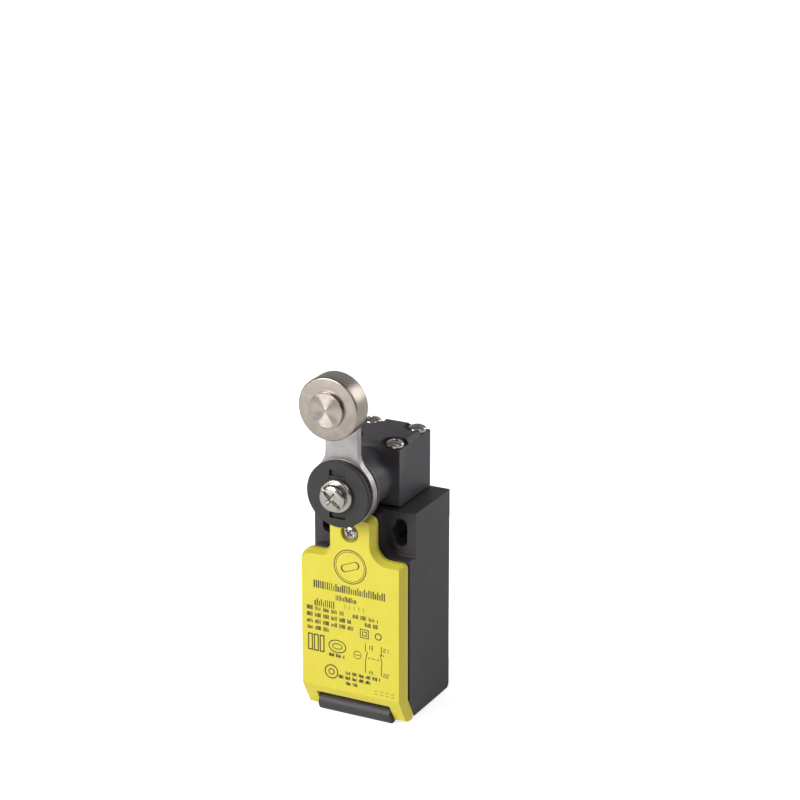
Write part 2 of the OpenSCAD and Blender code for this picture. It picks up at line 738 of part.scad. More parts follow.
module contact_base() color([0.86, 0.82, 0.7]) {
    inner = carrier_x + channel_play;
    pocket = bar_x + 0.9;
    front = carrier_front - channel_play;
    difference() {
        box([-block_x, block_x], [block_front, plate_y], [block_top - block_h, block_top]);
        // channel of the carrier, open towards the back plate
        box([-inner, inner], [front, plate_y + 1],
            [carrier_top - carrier_h - stroke - gap, block_top - 1.5]);
        rod_z(rod_r + 0.15, [block_top - 2, block_top + 1], 0, head_y);
        // pockets of the two bridges
        box([-pocket, pocket], [front, plate_y + 1], [nc_bar - stroke - 0.8, nc_strip + strip_t + tiny]);
        box([-pocket, pocket], [front, plate_y + 1], [no_strip - tiny, no_bar + bar_t + 0.8]);
        // slots of the fixed contacts
        for (z = [nc_strip, no_strip]) for (k = [-1, 1])
            box(k > 0 ? [3.9 - tiny, block_x + 1] : [-block_x - 1, tiny - 3.9],
                [block_front - 1, head_y + 1.6], [z - tiny, z + strip_t + tiny]);
        at_terminals() rod_y(1.5, [block_front - 1, block_front + 2.8]);
        for (k = [-1, 1]) rod_y(1.25, [block_front - 1, 0], k * (block_x - 2.2), block_screw_z);
    }
}

module contact_back_plate() color([0.8, 0.76, 0.64]) {
    difference() {
        box([-block_x, block_x], [plate_y, -rear_wall], [block_top - block_h, block_top]);
        for (k = [-1, 1]) rod_y(1.25, [plate_y - 1, 0], k * (block_x - 2.2), block_screw_z);
    }
}

module contact_carrier() color([0.2, 0.35, 0.6]) {
    y = [head_y - window_y, head_y + window_y];
    x = [-carrier_x - 1, carrier_x + 1];
    difference() {
        union() {
            box([-carrier_x, carrier_x], [carrier_front, carrier_back], [carrier_top - carrier_h, carrier_top]);
            rod_z(rod_r, [carrier_top - tiny, rod_base - gap], 0, head_y);
        }
        box(x, y, [nc_bar - 5.3, nc_bar + bar_t]);
        box(x, y, [no_bar, no_bar + 5.5]);
    }
}

// a bridge bar with a tip at each end, on its upper (1) or lower (-1) side
module bridge(z, side) color([0.8, 0.62, 0.35]) {
    box([-bar_x, bar_x], [head_y - 1.8, head_y + 1.8], [z, z + bar_t]);
    for (k = [-1, 1])
        rod_z(tip_r, side > 0 ? [z + bar_t - tiny, z + bar_t + tip_h] : [z - tip_h, z + tiny],
              k * tip_x, head_y);
}

module nc_bridge() bridge(nc_bar, 1);

module no_bridge() bridge(no_bar, -1);

module nc_spring() color([0.75, 0.75, 0.77]) {
    coil(1.2, 0.4, [nc_bar - 5.3 + tiny, nc_bar - tiny], 4, 0, head_y);
}

module no_spring() color([0.75, 0.75, 0.77]) {
    coil(1.2, 0.4, [no_bar + bar_t + tiny, no_bar + 5.5 - tiny], 4, 0, head_y);
}

// a strip that enters the block, bent up in front of it under the terminal screw
module fixed_contact(side, z, tip_side) color([0.82, 0.68, 0.4]) {
    x = side > 0 ? [3.9, terminal_x + 2.8] : [-terminal_x - 2.8, -3.9];
    tab = side > 0 ? [terminal_x - 2.8, terminal_x + 2.8] : [-terminal_x - 2.8, 2.8 - terminal_x];
    box(x, [block_front - strip_t, head_y + 1.5], [z, z + strip_t]);
    difference() {
        box(tab, [block_front - strip_t, block_front], [z, z + strip_t + 4.3]);
        rod_y(1.5, [block_front - 2, block_front + 1], side * terminal_x, z + strip_t + 1.8);
    }
    rod_z(tip_r, tip_side > 0 ? [z + strip_t - tiny, z + strip_t + tip_h] : [z - tip_h, z + tiny],
          side * tip_x, head_y);
}

module fixed_contact_21() fixed_contact(-1, nc_strip, -1);

module fixed_contact_22() fixed_contact(1, nc_strip, -1);

module fixed_contact_13() fixed_contact(-1, no_strip, 1);

module fixed_contact_14() fixed_contact(1, no_strip, 1);

module terminal_washers() color([0.78, 0.78, 0.76]) {
    y = block_front - strip_t;
    at_terminals() difference() {
        box([-2.5, 2.5], [y - strip_t, y], [-2.4, 2.4]);
        rod_y(1.5, [y - 2, y + 1]);
    }
}

module terminal_screws() color([0.8, 0.8, 0.78]) {
    y = block_front - 2 * strip_t;
    at_terminals() {
        pan_head_y(2.4, 1.8, y, 0, 0, 15);
        rod_y(terminal_screw_r, [y - tiny, block_front + 2.6]);
    }
}

module block_screws() color([0.8, 0.8, 0.78]) {
    for (k = [-1, 1]) {
        pan_head_y(2.1, 1.5, block_front, k * (block_x - 2.2), block_screw_z, 25);
        rod_y(1.2, [block_front - tiny, -1.5], k * (block_x - 2.2), block_screw_z);
    }
}

housing();
cover_gasket();
head_gasket();
head_housing();
head_screws();
shaft_bush();
shaft_seal();
shaft();
cam();
cam_pin();
lever_arm();
serrated_ring();
index_disc();
index_key();
lever_washer();
lever_screw();
roller();
roller_bush();
roller_axle();
roller_spacer();
pushrod();
pushrod_spring();
pushrod_seal();
contact_base();
contact_back_plate();
contact_carrier();
nc_bridge();
no_bridge();
nc_spring();
no_spring();
fixed_contact_21();
fixed_contact_22();
fixed_contact_13();
fixed_contact_14();
terminal_screws();
terminal_washers();
block_screws();
cover();
cover_screw();
hinge_pin();
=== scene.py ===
"""Finished looks for a roller lever limit switch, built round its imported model."""

import json
import math
import random

import bmesh
import bpy
from bpy.props import FloatProperty, FloatVectorProperty, IntProperty, PointerProperty
from mathutils import Matrix, Vector

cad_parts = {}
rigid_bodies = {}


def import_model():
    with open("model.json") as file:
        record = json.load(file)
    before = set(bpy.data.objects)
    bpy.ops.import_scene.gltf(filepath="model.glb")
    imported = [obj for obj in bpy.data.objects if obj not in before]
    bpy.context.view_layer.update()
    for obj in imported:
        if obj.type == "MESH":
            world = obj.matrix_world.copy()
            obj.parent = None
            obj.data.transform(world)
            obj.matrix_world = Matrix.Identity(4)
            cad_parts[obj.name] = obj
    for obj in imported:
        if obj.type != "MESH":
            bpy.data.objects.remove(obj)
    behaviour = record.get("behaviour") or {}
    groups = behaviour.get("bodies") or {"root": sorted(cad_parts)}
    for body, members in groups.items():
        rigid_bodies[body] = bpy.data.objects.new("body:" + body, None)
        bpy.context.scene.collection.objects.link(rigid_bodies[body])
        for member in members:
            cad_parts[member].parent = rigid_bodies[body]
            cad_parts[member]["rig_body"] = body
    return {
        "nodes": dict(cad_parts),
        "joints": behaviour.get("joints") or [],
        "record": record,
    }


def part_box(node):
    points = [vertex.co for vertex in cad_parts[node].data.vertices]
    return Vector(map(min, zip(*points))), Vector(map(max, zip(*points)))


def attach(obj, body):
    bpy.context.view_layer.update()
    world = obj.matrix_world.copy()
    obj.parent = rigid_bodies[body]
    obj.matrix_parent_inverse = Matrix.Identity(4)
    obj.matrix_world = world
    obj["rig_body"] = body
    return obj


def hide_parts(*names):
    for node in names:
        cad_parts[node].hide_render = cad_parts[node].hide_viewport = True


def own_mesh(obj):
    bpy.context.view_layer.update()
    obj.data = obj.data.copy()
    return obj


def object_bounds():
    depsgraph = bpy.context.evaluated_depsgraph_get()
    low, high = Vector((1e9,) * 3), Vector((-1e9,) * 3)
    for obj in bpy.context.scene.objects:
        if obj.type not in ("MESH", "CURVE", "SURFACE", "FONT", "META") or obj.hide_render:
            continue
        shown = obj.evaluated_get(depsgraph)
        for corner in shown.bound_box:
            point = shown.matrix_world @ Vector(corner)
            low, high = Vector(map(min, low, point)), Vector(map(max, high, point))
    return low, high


bl_info = {
    "name": "Roller Lever Limit Switch",
    "version": (1, 0, 0),
    "blender": (4, 5, 0),
    "location": "View3D > Sidebar > Limit Switch",
    "description": "Builds the finished pieces of a roller lever limit switch and its studio",
    "category": "Object",
}

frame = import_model()
CAD_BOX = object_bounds()
NODES = frame["nodes"]
BODY_OF = {n: o["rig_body"] for n, o in NODES.items()}
SLOT_OF = {part["node"]: part["material_slot"] for part in frame["record"]["subparts"]}
MM = 0.001
# turns a piece made along +Z so that its top faces the front, -Y
TO_FRONT = Matrix(((1, 0, 0, 0), (0, 0, -1, 0), (0, 1, 0, 0), (0, 0, 0, 1)))
FINISHES = {}


# ---------------------------------------------------------------- sizes and colours


def colour(name, description, default):
    return FloatVectorProperty(
        name=name, description=description, default=default, size=3, min=0, max=1,
        subtype="COLOR",
    )


def length(name, description, default):
    return FloatProperty(
        name=name, description=description, default=default, min=0, unit="LENGTH",
        subtype="DISTANCE", precision=5,
    )


class SwitchFinish(bpy.types.PropertyGroup):
    """Colours and surface detail of the switch"""

    body: colour("Body", "Moulded plastic of the body", (0.04, 0.0355, 0.0405))
    head: colour("Head", "Moulded plastic of the head", (0.052, 0.046, 0.0535))
    disc: colour("Disc", "Plastic of the lever's index disc", (0.026, 0.0235, 0.0245))
    cover: colour("Cover", "Yellow plastic of the cover", (0.68, 0.59, 0.052))
    ink: colour("Ink", "Printing on the cover", (0.05, 0.045, 0.02))
    roller: colour("Roller", "Nickelled steel of the roller", (0.43, 0.38, 0.335))
    lever: colour("Lever", "Zinc-plated steel of the lever", (0.44, 0.42, 0.415))
    screw: colour("Screw", "Nickelled steel of the screws", (0.5, 0.47, 0.43))
    grain: length("Grain", "Size of the moulded grain", 0.16 * MM)
    edge: length("Edge", "Radius that softens the moulded edges", 0.28 * MM)


class SwitchShape(bpy.types.PropertyGroup):
    """Sizes of the details that Blender adds"""

    edge_round: length("Roller Edge", "Rounding of the roller's edges", 0.5 * MM)
    tick: length("Tick", "Width of one printed tick", 0.3 * MM)
    ink_proud: length("Ink Height", "How far the printing stands proud", 0.015 * MM)
    thread_pitch: length("Thread Pitch", "Pitch of the cable entry's thread", 1.5 * MM)
    teeth: IntProperty(
        name="Teeth", description="Teeth round the serrated ring", default=60, min=12, max=120
    )
    seed: IntProperty(name="Seed", description="Seed of the printed ticks", default=7, min=0)


class SwitchStage(bpy.types.PropertyGroup):
    """Studio light and camera"""

    key: FloatProperty(name="Key", description="Strength of the key light", default=9.8, min=0)
    fill: FloatProperty(name="Fill", description="Strength of the side light", default=0.2, min=0)
    top: FloatProperty(name="Top", description="Strength of the light above", default=0.15, min=0)
    back: FloatProperty(
        name="Back", description="Strength of the light behind", default=1.9, min=0
    )
    room: FloatProperty(name="Room", description="Brightness of the room", default=0.17, min=0)
    lens: FloatProperty(
        name="Lens", description="Focal length in millimetres", default=133.79, min=20,
        unit="CAMERA",
    )


# ---------------------------------------------------------------- materials


class Value:
    """A number socket that Python's operators work on. Each one adds a Math node."""

    def __init__(self, finish, socket):
        self.finish, self.socket = finish, socket

    def math(self, operation, *numbers):
        return self.finish.node(
            "ShaderNodeMath", {"operation": operation}, dict(enumerate(numbers))
        )

    def __add__(self, other):
        return self.math("ADD", self, other)

    def __sub__(self, other):
        return self.math("SUBTRACT", self, other)

    def __rsub__(self, other):
        return self.math("SUBTRACT", other, self)

    def __mul__(self, other):
        return self.math("MULTIPLY", self, other)

    __radd__, __rmul__ = __add__, __mul__

    def sin(self):
        return self.math("SINE", self)

    def step(self, low, high):
        """0 below low, 1 above high, and smooth between them."""
        return self.finish.node(
            "ShaderNodeMapRange", {"interpolation_type": "SMOOTHSTEP"},
            {"Value": self, "From Min": low, "From Max": high},
        )


class Finish:
    """Builds one material. node() adds any node, and constants are set on the shader itself."""

    def __init__(self, name, **constants):
        self.material = bpy.data.materials.new(name)
        self.material.use_nodes = True
        self.tree = self.material.node_tree
        self.shader = self.tree.nodes["Principled BSDF"]
        for socket, value in constants.items():
            self.shader.inputs[socket.replace("_", " ")].default_value = value
        self.place = self.node("ShaderNodeTexCoord", out="Object")
        FINISHES[name] = self.material

    def node(self, kind, settings=None, inputs=None, out=0):
        made = self.tree.nodes.new(kind)
        for key, value in (settings or {}).items():
            setattr(made, key, value)
        for key, value in (inputs or {}).items():
            if isinstance(value, Value):
                self.tree.links.new(value.socket, made.inputs[key])
            else:
                made.inputs[key].default_value = value
        return Value(self, made.outputs[out])

    def feed(self, socket, value):
        self.tree.links.new(value.socket, self.shader.inputs[socket])

    def mix(self, factor, a, b):
        """Colour a where the factor is 0 and b where it is 1."""
        return self.node(
            "ShaderNodeMix", {"data_type": "RGBA"},
            {"Factor": factor, 6: as_rgba(a), 7: as_rgba(b)}, out=2,
        )

    def noise(self, size, detail, stretch=None):
        """Noise whose bumps are about that size, in metres. stretch gives it a grain."""
        place = self.place
        if stretch:
            place = self.node(
                "ShaderNodeMapping", {"vector_type": "POINT"}, {"Vector": place, "Scale": stretch}
            )
        return self.node(
            "ShaderNodeTexNoise", {"noise_dimensions": "3D"},
            {"Vector": place, "Scale": 1 / size, "Detail": detail, "Roughness": 0.55},
        )

    def soft_edge(self, radius):
        """Normals that run round the edges, and how near an edge each point is."""
        rounded = self.node("ShaderNodeBevel", {"samples": 6}, {"Radius": radius})
        flat = self.node("ShaderNodeNewGeometry", out="Normal")
        near = self.node(
            "ShaderNodeVectorMath", {"operation": "DOT_PRODUCT"}, {0: rounded, 1: flat},
            out="Value",
        )
        return rounded, (1 - near).step(0.01, 0.25)

    def bump(self, height, depth, normal=None):
        """A height from 0 to 1 becomes relief of that depth, in metres."""
        inputs = {"Height": height, "Distance": depth, "Strength": 1.0}
        if normal:
            inputs["Normal"] = normal
        self.feed("Normal", self.node("ShaderNodeBump", {}, inputs))

    def off_axis(self, centre):
        """Distance from an axis along Y through the centre."""
        flat = self.node(
            "ShaderNodeMapping", {"vector_type": "TEXTURE"},
            {"Vector": self.place, "Location": centre},
        )
        flat = self.node(
            "ShaderNodeVectorMath", {"operation": "MULTIPLY"}, {0: flat, 1: (1, 0, 1)}
        )
        return self.node(
            "ShaderNodeVectorMath", {"operation": "LENGTH"}, {0: flat}, out="Value"
        )


def as_rgba(value):
    return value if isinstance(value, Value) else (*value[:3], 1.0)


def shade(base, factor):
    return tuple(min(1.0, c * factor) for c in base[:3])


def moulded(name, base, roughness, grain, edge, depth=0.012 * MM, edge_highlight=1.5, variation=0.12):
    """Moulded plastic: spark-eroded grain, a little cloudiness, edges rubbed smoother, and a painted
    highlight that lightens the colour along the edges.
    """
    f = Finish(name, IOR=1.48)
    normal, near = f.soft_edge(edge)
    fine = f.noise(grain, 3)
    cloud = f.noise(4 * MM, 3)
    tone = f.mix(cloud.step(0.3, 0.7), shade(base, 1 - variation), shade(base, 1 + variation))
    tone = f.mix(fine.step(0.45, 0.8) * 0.35, tone, shade(base, 1.35))
    # painted highlight: the colour lightens near the edges
    f.feed("Base Color", f.mix(near * 0.5, tone, shade(base, edge_highlight)))
    f.feed("Roughness", roughness + 0.1 * cloud.step(0.25, 0.75) - 0.1 * near)
    f.bump(fine, depth, normal)


def turned(name, base, roughness, centre, pitch, edge, depth=0.004 * MM):
    """Lathe-turned metal: fine rings round an axis along Y, with faint stains, and a painted
    highlight along the edges.
    """
    f = Finish(name, Metallic=1.0)
    normal, near = f.soft_edge(edge)
    radius = f.off_axis(centre)
    wander = f.noise(1.1 * MM, 2)
    rings = (radius * (2 * math.pi / pitch) + wander * 1.5).sin() * 0.5 + 0.5
    stain = f.noise(2.2 * MM, 4)
    tone = f.mix(stain.step(0.3, 0.75), shade(base, 0.88), shade(base, 1.08))
    tone = f.mix(rings * 0.35, tone, shade(base, 0.82))
    # painted highlight: the colour brightens near the edges
    f.feed("Base Color", f.mix(near * 0.6, tone, shade(base, 1.3)))
    f.feed("Roughness", roughness + 0.12 * stain.step(0.3, 0.8) + 0.05 * rings)
    f.bump(rings, depth, normal)


def rolled(name, base, roughness, edge, stretch=(1, 1, 0.12), depth=0.004 * MM):
    """Plated sheet or bar: long fine scratches one way, soft stains, and a painted highlight that
    brightens the edges.
    """
    f = Finish(name, Metallic=1.0)
    normal, near = f.soft_edge(edge)
    scratch = f.noise(0.12 * MM, 3, stretch=stretch)
    stain = f.noise(2.5 * MM, 4)
    tone = f.mix(stain.step(0.3, 0.75), shade(base, 0.9), shade(base, 1.08))
    tone = f.mix(scratch.step(0.45, 0.75) * 0.4, tone, shade(base, 0.84))
    # painted highlight: the colour brightens near the edges
    f.feed("Base Color", f.mix(near * 0.6, tone, shade(base, 1.25)))
    f.feed("Roughness", roughness + 0.14 * scratch.step(0.35, 0.7) + 0.06 * stain)
    f.bump(scratch, depth, normal)


def printed(name, base):
    """Pad-printed ink: thin where the grain under it is low."""
    f = Finish(name, IOR=1.45)
    grain = f.noise(0.2 * MM, 3)
    f.feed("Base Color", f.mix(grain.step(0.35, 0.8) * 0.6, base, shade(base, 3.2)))
    f.feed("Roughness", 0.55 + 0.2 * grain)
    f.bump(grain, 0.004 * MM)


def middle(node):
    low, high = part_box(node)
    return (low + high) / 2


def make_finishes():
    """Every material of the switch, made once."""
    if FINISHES:
        return
    c = bpy.context.scene.switch_finish
    lever_eye, roller_eye = middle("lever_washer"), middle("roller")
    moulded("body_moulding", c.body, 0.46, c.grain, c.edge)
    moulded("head_moulding", c.head, 0.42, c.grain, c.edge)
    moulded("disc_moulding", c.disc, 0.5, c.grain * 0.8, c.edge * 0.4, edge_highlight=2.0)
    moulded("cover_moulding", c.cover, 0.4, c.grain * 1.3, c.edge, 0.006 * MM, 1.04, 0.02)
    moulded("rubber_seal", (0.018, 0.018, 0.019), 0.7, c.grain, c.edge * 0.3)
    moulded("block_moulding", (0.70, 0.64, 0.50), 0.45, c.grain, c.edge * 0.4, variation=0.05)
    moulded("carrier_moulding", (0.03, 0.09, 0.3), 0.4, c.grain, c.edge * 0.4, variation=0.08)
    moulded("rod_moulding", (0.72, 0.69, 0.6), 0.35, c.grain, c.edge * 0.4, variation=0.05)
    turned("roller_turning", c.roller, 0.26, roller_eye, 0.36 * MM, 0.1 * MM, 0.006 * MM)
    # the axle's rings are so fine that they show as one cone of light
    turned(
        "axle_turning", shade(c.roller, 1.25), 0.14, roller_eye, 0.07 * MM, 0.08 * MM, 0.014 * MM
    )
    turned("washer_turning", c.screw, 0.2, lever_eye, 0.25 * MM, 0.08 * MM)
    turned("shaft_turning", (0.5, 0.49, 0.48), 0.28, lever_eye, 0.3 * MM, 0.08 * MM)
    turned("bronze_turning", (0.55, 0.36, 0.16), 0.35, lever_eye, 0.3 * MM, 0.06 * MM)
    rolled("lever_plating", c.lever, 0.36, 0.12 * MM)
    rolled("ring_blacking", (0.2, 0.19, 0.18), 0.2, 0.06 * MM, (1, 1, 1))
    rolled("screw_plating", c.screw, 0.12, 0.05 * MM, (1, 1, 1))
    rolled("spring_wire", (0.5, 0.5, 0.52), 0.25, 0.03 * MM, (1, 1, 1))
    rolled("contact_metal", (0.75, 0.52, 0.22), 0.28, 0.05 * MM, (0.15, 1, 1))
    printed("cover_ink", c.ink)
    # painted shade: darker cover colour stands for the shade of the embossed date marks
    printed("date_ink", shade(c.cover, 0.42))


# ---------------------------------------------------------------- meshes


def new_object(name, mesh):
    made = bpy.data.objects.new(name, mesh)
    bpy.context.scene.collection.objects.link(made)
    return made


def settle(made, angle=32):
    """Turns an object's modifiers into plain mesh, smooth except at its sharp edges."""
    graph = bpy.context.evaluated_depsgraph_get()
    mesh = bpy.data.meshes.new_from_object(made.evaluated_get(graph), depsgraph=graph)
    made.modifiers.clear()
    old, made.data = made.data, mesh
    mesh.name = made.name
    if old.users == 0:
        bpy.data.meshes.remove(old)
    if len(mesh.polygons) == 0:
        raise RuntimeError(f"{made.name} came out empty")
    mesh.shade_smooth()
    mesh.set_sharp_from_angle(angle=math.radians(angle))
    return made


def finish_piece(made, material, *nodes, body=None, slot=None):
    """Gives a piece its material, hides the nodes it stands for, and lets it ride."""
    if material:
        made.data.materials.clear()
        made.data.materials.append(FINISHES[material])
    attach(made, body or BODY_OF[nodes[0]])
    if nodes:
        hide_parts(*nodes)
    slot or nodes and nodes[0] in SLOT_OF
    return made


def copied(node, name):
    """A merged copy of a node, with its flat faces joined up."""
    mesh = NODES[node].data.copy()
    mesh.name = name
    if "custom_normal" in mesh.attributes:
        mesh.attributes.remove(mesh.attributes["custom_normal"])
    work = bmesh.new()
    work.from_mesh(mesh)
    bmesh.ops.remove_doubles(work, verts=work.verts, dist=2e-6)
    bmesh.ops.dissolve_limit(
        work, angle_limit=math.radians(0.4), verts=work.verts, edges=work.edges
    )
    bmesh.ops.triangulate(work, faces=[f for f in work.faces if len(f.verts) > 4])
    work.to_mesh(mesh)
    work.free()
    return new_object(name, mesh)


def carry(node, material, angle=30):
    """A node whose shape is right, as a smooth piece with its finish."""
    return finish_piece(settle(copied(node, node + "_piece"), angle), material, node)


def as_mesh(work, name):
    mesh = bpy.data.meshes.new(name)
    work.to_mesh(mesh)
    work.free()
    return mesh


def full_turn(count):
    """That many evenly spaced angles."""
    return [2 * math.pi * i / count for i in range(count)]


def quarter_turn(steps):
    """The angles from 0 to a right angle, both ends among them."""
    return [math.pi / 2 * i / steps for i in range(steps + 1)]


def round_edge(radius, top, size, steps):
    """The rounded upper edge of a profile, as points (radius, height)."""
    return [
        (radius - size * (1 - math.cos(a)), top - size * (1 - math.sin(a)))
        for a in quarter_turn(steps)
    ]


def join_loops(work, loops):
    """Faces from each loop of points to the next, and from the last to the first."""
    for a, b in zip(loops, loops[1:] + loops[:1]):
        for k in range(len(a)):
            n = (k + 1) % len(a)
            work.faces.new((a[k], a[n], b[n], b[k]))


def spun_mesh(name, profile, steps):
    """A round solid about Z. The profile is a list of (radius, height), closed on the axis
    where a radius is 0, and joined end to end where it isn't."""
    work = bmesh.new()
    rows = []
    for radius, height in profile:
        if radius < 1e-9:
            rows.append([work.verts.new((0, 0, height))])
        else:
            rows.append([
                work.verts.new((radius * math.cos(a), radius * math.sin(a), height))
                for a in full_turn(steps)
            ])
    ring = profile[0][0] > 1e-9
    for i in range(len(rows) if ring else len(rows) - 1):
        low, high = rows[i], rows[(i + 1) % len(rows)]
        for k in range(steps):
            n = (k + 1) % steps
            if len(low) == 1:
                work.faces.new((low[0], high[n], high[k]))
            elif len(high) == 1:
                work.faces.new((low[k], low[n], high[0]))
            else:
                work.faces.new((low[k], low[n], high[n], high[k]))
    bmesh.ops.recalc_face_normals(work, faces=work.faces)
    return as_mesh(work, name)


def cutter(name, turn, half_long, half_wide, low, high):
    """A tapering block, turned about Z, that cuts a recess. half_long and half_wide are given
    at its low and its high end."""
    work = bmesh.new()
    verts = [
        work.verts.new((sx * half_long[k], sy * half_wide[k], (low, high)[k]))
        for k in (0, 1)
        for sx, sy in ((-1, -1), (1, -1), (1, 1), (-1, 1))
    ]
    for ids in ((3, 2, 1, 0), (4, 5, 6, 7), (0, 1, 5, 4), (1, 2, 6, 5), (2, 3, 7, 6), (3, 0, 4, 7)):
        work.faces.new([verts[i] for i in ids])
    bmesh.ops.rotate(work, verts=verts, matrix=Matrix.Rotation(turn, 3, "Z"))
    return new_object(name, as_mesh(work, name))


def screw(name, head_r, head_h, shank_r, shank_l, slotted=True, crown=0.6):
    """A pan head screw along +Z, its head standing on z = 0: domed over the crown's share of
    its height, with a cross recess, and a slot through it if slotted. The shank has threads."""
    dome = [(head_r * math.cos(a) ** (crown / 0.6), head_h * (1 - crown + crown * math.sin(a)))
            for a in quarter_turn(8)]
    dome[-1] = (0, head_h)
    pitch = shank_r * 0.55
    thread = []
    depth = -shank_l
    while depth < -shank_r * 0.8:
        thread += [(shank_r * 0.84, depth), (shank_r, depth + pitch / 2)]
        depth += pitch
    profile = [(0, -shank_l), *thread, (shank_r * 0.9, -shank_r * 0.4),
               (shank_r * 0.9, 0), (head_r * 0.97, 0), (head_r, head_h * 0.06),
               (head_r, head_h * (0.76 - crown) * 0.9), *dome]
    made = new_object(name, spun_mesh(name, profile, 40))
    arm, floor, above = head_r * 0.6, head_h * 0.3, head_h * 1.2
    cuts = [
        (turn, (arm * 0.55, arm), (head_r * 0.1, head_r * 0.17), floor, above)
        for turn in (0, math.pi / 2)
    ]
    if slotted:
        cuts.append((0, (head_r * 1.2,) * 2, (head_r * 0.12,) * 2, head_h * 0.62, above))
    tools = [cutter(name + "_cut", *part) for part in cuts]
    for tool in tools:
        cut = made.modifiers.new("Recess", "BOOLEAN")
        cut.operation, cut.solver, cut.object = "DIFFERENCE", "EXACT", tool
    edge = made.modifiers.new("Edge", "BEVEL")
    edge.width, edge.segments, edge.limit_method = head_r * 0.03, 2, "ANGLE"
    edge.angle_limit = math.radians(38)
    settle(made, 40)
    for tool in tools:
        bpy.data.objects.remove(tool)
    return made


# ---------------------------------------------------------------- geometry nodes


class Tree:
    """Builds one Geometry Nodes tree with named inputs."""

    def __init__(self, name, **inputs):
        self.group = bpy.data.node_groups.new(name, "GeometryNodeTree")
        kinds = {
            "geometry": "NodeSocketGeometry", "float": "NodeSocketFloat",
            "int": "NodeSocketInt", "object": "NodeSocketObject",
            "material": "NodeSocketMaterial",
        }
        self.group.interface.new_socket("Geometry", in_out="OUTPUT", socket_type=kinds["geometry"])
        for label, (kind, value) in inputs.items():
            made = self.group.interface.new_socket(
                label.replace("_", " "), in_out="INPUT", socket_type=kinds[kind]
            )
            if value is not None:
                made.default_value = value
        self.source = self.group.nodes.new("NodeGroupInput")

    def given(self, label):
        return self.source.outputs[label]

    def node(self, kind, settings=None, inputs=None, out=0):
        made = self.group.nodes.new(kind)
        for key, value in (settings or {}).items():
            setattr(made, key, value)
        for key, value in (inputs or {}).items():
            if isinstance(value, bpy.types.NodeSocket):
                self.group.links.new(value, made.inputs[key])
            else:
                made.inputs[key].default_value = value
        return made.outputs[out]

    def finish(self, geometry):
        """Every tree ends in plain geometry that has its material."""
        plain = self.node("GeometryNodeRealizeInstances", {}, {0: geometry})
        shown = self.node(
            "GeometryNodeSetMaterial", {}, {0: plain, "Material": self.given("Material")}
        )
        end = self.group.nodes.new("NodeGroupOutput")
        self.group.links.new(shown, end.inputs[0])
        return self

    def run(self, name, mesh, angle=32, **values):
        """Puts the tree on an object, sets its inputs, and makes the result a plain mesh."""
        made = new_object(name, mesh)
        modifier = made.modifiers.new(self.group.name, "NODES")
        modifier.node_group = self.group
        for item in self.group.interface.items_tree:
            if item.in_out == "INPUT" and item.name.replace(" ", "_") in values:
                modifier[item.identifier] = values[item.name.replace(" ", "_")]
        return settle(made, angle)


def points(name, rows, **attributes):
    """Loose points, each with its own vectors."""
    mesh = bpy.data.meshes.new(name)
    mesh.from_pydata([tuple(r) for r in rows], [], [])
    for label, values in attributes.items():
        made = mesh.attributes.new(label, "FLOAT_VECTOR", "POINT")
        for i, value in enumerate(values):
            made.data[i].vector = value
    return mesh


def named(tree, label):
    return tree.node(
        "GeometryNodeInputNamedAttribute", {"data_type": "FLOAT_VECTOR"}, {"Name": label}
    )


def placed_tree():
    """One object on every point, turned by the point's own angles."""
    tree = Tree("placed_screws", Points=("geometry", None), Piece=("object", None),
                Material=("material", None))
    piece = tree.node("GeometryNodeObjectInfo", {}, {"Object": tree.given("Piece")}, "Geometry")
    return tree.finish(tree.node(
        "GeometryNodeInstanceOnPoints", {},
        {"Points": tree.given("Points"), "Instance": piece, "Rotation": named(tree, "turn")},
    ))


def coil_tree():
    """Round wire wound about Z, from z = 0 up."""
    tree = Tree("wound_wire", Base=("geometry", None), Radius=("float", 0.002),
                Height=("float", 0.005), Turns=("float", 4.0), Wire=("float", 0.0002),
                Sides=("int", 8), Material=("material", None))
    line = tree.node(
        "GeometryNodeCurveSpiral", {},
        {"Resolution": 40, "Rotations": tree.given("Turns"), "Start Radius": tree.given("Radius"),
         "End Radius": tree.given("Radius"), "Height": tree.given("Height")},
    )
    ring = tree.node(
        "GeometryNodeCurvePrimitiveCircle", {},
        {"Resolution": tree.given("Sides"), "Radius": tree.given("Wire")},
    )
    wire = tree.node(
        "GeometryNodeCurveToMesh", {}, {"Curve": line, "Profile Curve": ring, "Fill Caps": True}
    )
    return tree.finish(wire)


def tick_tree():
    """Flat upright bars, one for each point, that stand in the X and Z plane."""
    tree = Tree("printed_ticks", Points=("geometry", None), Thickness=("float", 0.00002),
                Material=("material", None))
    size = named(tree, "size")
    bar = tree.node("GeometryNodeMeshCube", {}, {"Size": (1, 1, 1)})
    scale = tree.node("ShaderNodeCombineXYZ", {}, {"Y": tree.given("Thickness")}).node
    split = tree.node("ShaderNodeSeparateXYZ", {}, {0: size}).node
    tree.group.links.new(split.outputs[0], scale.inputs[0])
    tree.group.links.new(split.outputs[2], scale.inputs[2])
    return tree.finish(tree.node(
        "GeometryNodeInstanceOnPoints", {},
        {"Points": tree.given("Points"), "Instance": bar, "Rotation": named(tree, "turn"),
         "Scale": scale.outputs[0]},
    ))


